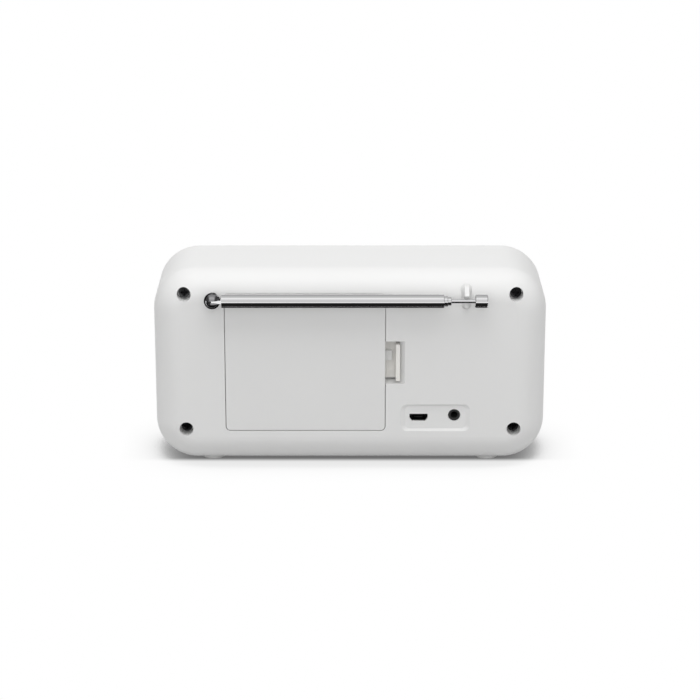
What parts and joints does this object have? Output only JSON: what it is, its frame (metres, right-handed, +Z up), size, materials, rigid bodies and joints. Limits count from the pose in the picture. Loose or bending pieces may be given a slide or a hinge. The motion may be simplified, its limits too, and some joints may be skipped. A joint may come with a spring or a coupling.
{
  "type": "tabletop radio",
  "caption": "Rounded white tabletop radio with a telescopic aerial, battery door with a snap latch, rear sockets, speaker grille, display window, push buttons and a rotary control.",
  "frame": {"origin": "centre of the whole part's footprint, on the surface the feet stand on", "axes": "+Z up, -Y out of the front with the loudspeaker and controls, +X to the right as seen from the front"},
  "size_m": [0.19, 0.0778, 0.0984],
  "materials": {
    "shell_plastic": "satin white moulded plastic",
    "foot_plastic": "white soft foot",
    "black_steel": "black oxide steel",
    "screw_steel": "zinc plated steel",
    "box_plastic": "white moulded plastic",
    "cell_sleeve": "shrink sleeve, unmarked",
    "contact_nickel": "nickel plated",
    "board_green": "solder mask",
    "jack_black": "black moulded plastic",
    "capacitor_can": "aluminium can",
    "basket_steel": "zinc plated steel",
    "gasket_foam": "foam rubber",
    "magnet_ferrite": "ferrite",
    "copper_coil": "enamelled copper on a paper former",
    "cone_paper": "paper cone",
    "surround_rubber": "rubber roll",
    "grille_metal": "painted perforated sheet",
    "grille_cloth": "acoustic cloth",
    "window_clear": "smoked clear plastic",
    "display_dark": "display glass in a black frame",
    "encoder_metal": "machined",
    "lead_black": "insulated lead",
    "lead_red": "insulated lead",
    "ribbon_grey": "flat ribbon",
    "cushion_foam": "foam strip",
    "aerial_chrome": "polished chrome plate",
    "button_plastic": "satin white moulded plastic",
    "knob_plastic": "satin white moulded plastic"
  },
  "bodies": {
    "casing": {"front_shell": "shell_plastic", "rear_shell": "shell_plastic", "feet": "foot_plastic", "case_screws": "black_steel", "battery_box": "box_plastic", "battery_box_screws": "screw_steel", "battery_cells": "cell_sleeve", "battery_contacts": "contact_nickel", "battery_springs": "contact_nickel", "main_board": "board_green", "board_screws": "screw_steel", "usb_socket": "contact_nickel", "headphone_jack": "jack_black", "tuner_shield": "contact_nickel", "capacitors": "capacitor_can", "aerial_contact": "contact_nickel", "aerial_clip": "shell_plastic", "speaker_basket": "basket_steel", "speaker_gasket": "gasket_foam", "speaker_magnet": "magnet_ferrite", "speaker_yoke": "basket_steel", "voice_coil": "copper_coil", "speaker_cone": "cone_paper", "speaker_surround": "surround_rubber", "dust_cap": "cone_paper", "speaker_screws": "screw_steel", "speaker_grille": "grille_metal", "grille_cloth": "grille_cloth", "display_window": "window_clear", "display_module": "display_dark", "control_board": "board_green", "control_board_screws": "screw_steel", "tact_switches": "jack_black", "encoder_body": "encoder_metal", "encoder_nut": "contact_nickel", "aerial_lead": "lead_black", "battery_leads": "lead_red", "speaker_leads": "lead_black", "ribbon_cable": "ribbon_grey"},
    "battery_door": {"battery_door": "shell_plastic", "door_cushion": "cushion_foam"},
    "battery_latch": {"battery_latch": "shell_plastic"},
    "aerial_knuckle": {"aerial_knuckle": "aerial_chrome", "aerial_hinge_pin": "aerial_chrome", "aerial_base_screw": "screw_steel"},
    "aerial_tube": {"aerial_blade": "aerial_chrome", "aerial_tube": "aerial_chrome"},
    "aerial_section_2": {"aerial_section_2": "aerial_chrome"},
    "aerial_section_3": {"aerial_section_3": "aerial_chrome"},
    "aerial_section_4": {"aerial_section_4": "aerial_chrome"},
    "aerial_tip": {"aerial_tip_rod": "aerial_chrome", "aerial_tip_knob": "aerial_chrome"},
    "power_button": {"power_button": "button_plastic"},
    "band_button": {"band_button": "button_plastic"},
    "preset_button": {"preset_button": "button_plastic"},
    "menu_button": {"menu_button": "button_plastic"},
    "alarm_button": {"alarm_button": "button_plastic"},
    "knob_press": {"encoder_plunger": "encoder_metal"},
    "volume_knob": {"encoder_shaft": "encoder_metal", "volume_knob": "knob_plastic"}
  },
  "joints": [
    {"name": "aerial_swivel", "type": "hinge", "parent": "casing", "child": "aerial_knuckle", "pos_m": [0.0657, 0.02905, 0.0869], "axis": [0, 1, 0], "range_deg": [0, 180]},
    {"name": "aerial_tilt", "type": "hinge", "parent": "aerial_knuckle", "child": "aerial_tube", "pos_m": [0.0657, 0.03505, 0.0869], "axis": [0, 0, -1], "range_deg": [0, 90]},
    {"name": "section_2_slide", "type": "slide", "parent": "aerial_tube", "child": "aerial_section_2", "axis": [-1, 0, 0], "range_m": [0, 0.088]},
    {"name": "section_3_slide", "type": "slide", "parent": "aerial_section_2", "child": "aerial_section_3", "axis": [-1, 0, 0], "range_m": [0, 0.088]},
    {"name": "section_4_slide", "type": "slide", "parent": "aerial_section_3", "child": "aerial_section_4", "axis": [-1, 0, 0], "range_m": [0, 0.088]},
    {"name": "tip_slide", "type": "slide", "parent": "aerial_section_4", "child": "aerial_tip", "axis": [-1, 0, 0], "range_m": [0, 0.088]},
    {"name": "battery_door_hinge", "type": "hinge", "parent": "casing", "child": "battery_door", "pos_m": [0.06035, 0.02905, 0.05125], "axis": [0, 0, -1], "range_deg": [0, 80]},
    {"name": "latch_slide", "type": "slide", "parent": "battery_door", "child": "battery_latch", "axis": [1, 0, 0], "range_m": [0, 0.0012], "stiffness_N_per_m": 1500},
    {"name": "power_button_press", "type": "slide", "parent": "casing", "child": "power_button", "axis": [0, 1, 0], "range_m": [0, 0.0006], "stiffness_N_per_m": 1200},
    {"name": "band_button_press", "type": "slide", "parent": "casing", "child": "band_button", "axis": [0, 1, 0], "range_m": [0, 0.0006], "stiffness_N_per_m": 1200},
    {"name": "preset_button_press", "type": "slide", "parent": "casing", "child": "preset_button", "axis": [0, 1, 0], "range_m": [0, 0.0006], "stiffness_N_per_m": 1200},
    {"name": "menu_button_press", "type": "slide", "parent": "casing", "child": "menu_button", "axis": [0, 1, 0], "range_m": [0, 0.0006], "stiffness_N_per_m": 1200},
    {"name": "alarm_button_press", "type": "slide", "parent": "casing", "child": "alarm_button", "axis": [0, 1, 0], "range_m": [0, 0.0006], "stiffness_N_per_m": 1200},
    {"name": "knob_press", "type": "slide", "parent": "casing", "child": "knob_press", "axis": [0, 1, 0], "range_m": [0, 0.0005], "stiffness_N_per_m": 3000},
    {"name": "knob_turn", "type": "hinge", "parent": "knob_press", "child": "volume_knob", "pos_m": [0.072, -0.02695, 0.0645], "axis": [0, 1, 0], "continuous": true}
  ]
}
